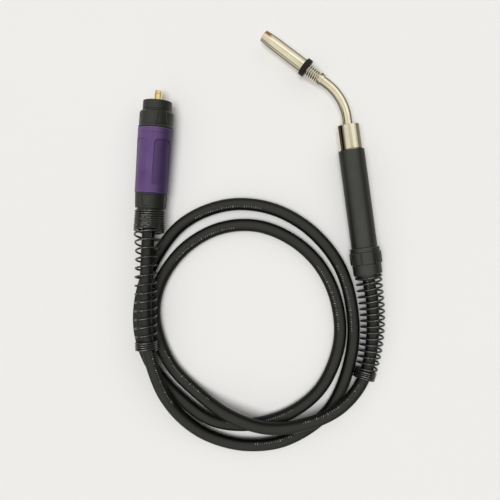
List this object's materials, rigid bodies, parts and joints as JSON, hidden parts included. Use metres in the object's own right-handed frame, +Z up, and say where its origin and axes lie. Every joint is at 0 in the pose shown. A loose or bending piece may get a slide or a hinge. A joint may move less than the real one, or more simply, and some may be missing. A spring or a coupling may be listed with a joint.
{
  "type": "mig welding torch",
  "caption": "Straight-handled MIG welding torch with a bent chrome neck and gas nozzle, sprung strain reliefs, a coiled cable and a purple central connector with a turning coupling nut.",
  "frame": {"origin": "on the table, under the middle of the torch itself (handle, neck, nozzle and front spring) without its cable and connector", "axes": "+Y along the handle towards the nozzle, +Z up from the table the torch lies on, +X to the right; the neck bends towards -X and the connector lies on the -X side"},
  "size_m": [0.3462, 0.5631, 0.0491],
  "materials": {
    "chrome": "polished chrome plate, warm reflections",
    "spring_steel": "bright drawn steel",
    "brass": "machined brass",
    "copper": "bare copper",
    "black_plastic": "satin moulded black plastic",
    "insulator": "near-black heat-resistant moulding",
    "ceramic": "fired white ceramic",
    "purple_plastic": "satin moulded purple plastic",
    "black_steel": "black-coated spring wire, semi-gloss",
    "cable_rubber": "matte black rubber sheath",
    "seal_rubber": "black sealing rubber"
  },
  "bodies": {
    "torch": {"neck_end_collar": "chrome", "tip_holder": "brass", "contact_tip": "copper", "gas_diffuser": "ceramic", "nozzle_insulator": "insulator", "nozzle_spring": "spring_steel", "body_tube": "black_plastic", "neck_collar": "chrome", "swan_neck": "chrome", "wire_guide": "spring_steel", "neck_block": "brass", "neck_screw": "spring_steel", "front_crimp": "copper", "body_end_ring": "black_plastic", "cable_nut": "black_plastic", "spring_sleeve": "black_plastic", "front_spring": "black_steel", "rear_collar": "black_plastic", "plug_housing": "purple_plastic", "housing_screw": "spring_steel", "plug_body": "brass", "rear_crimp": "copper", "centre_pin": "brass", "pin_nose": "brass", "pin_seal": "seal_rubber", "rear_spring": "black_steel", "power_cable": "cable_rubber"},
    "coupling": {"coupling_nut": "black_plastic", "coupling_ring": "brass"},
    "signal_a": {"signal_pin_a": "brass"},
    "signal_b": {"signal_pin_b": "brass"},
    "nozzle": {"gas_nozzle": "chrome"}
  },
  "joints": [
    {"name": "coupling_nut_spin", "type": "hinge", "parent": "torch", "child": "coupling", "pos_m": [-0.21614, 0.1327, 0.02371], "axis": [0.2028, 0.9792, 0], "continuous": true},
    {"name": "signal_pin_a_push", "type": "slide", "parent": "torch", "child": "signal_a", "axis": [0.2028, 0.9792, 0], "range_m": [-0.003, 0], "stiffness_N_per_m": 300},
    {"name": "signal_pin_b_push", "type": "slide", "parent": "torch", "child": "signal_b", "axis": [0.2028, 0.9792, 0], "range_m": [-0.003, 0], "stiffness_N_per_m": 300},
    {"name": "nozzle_pull", "type": "slide", "parent": "torch", "child": "nozzle", "axis": [-0.7071, 0.7071, 0], "range_m": [0, 0.07]}
  ]
}
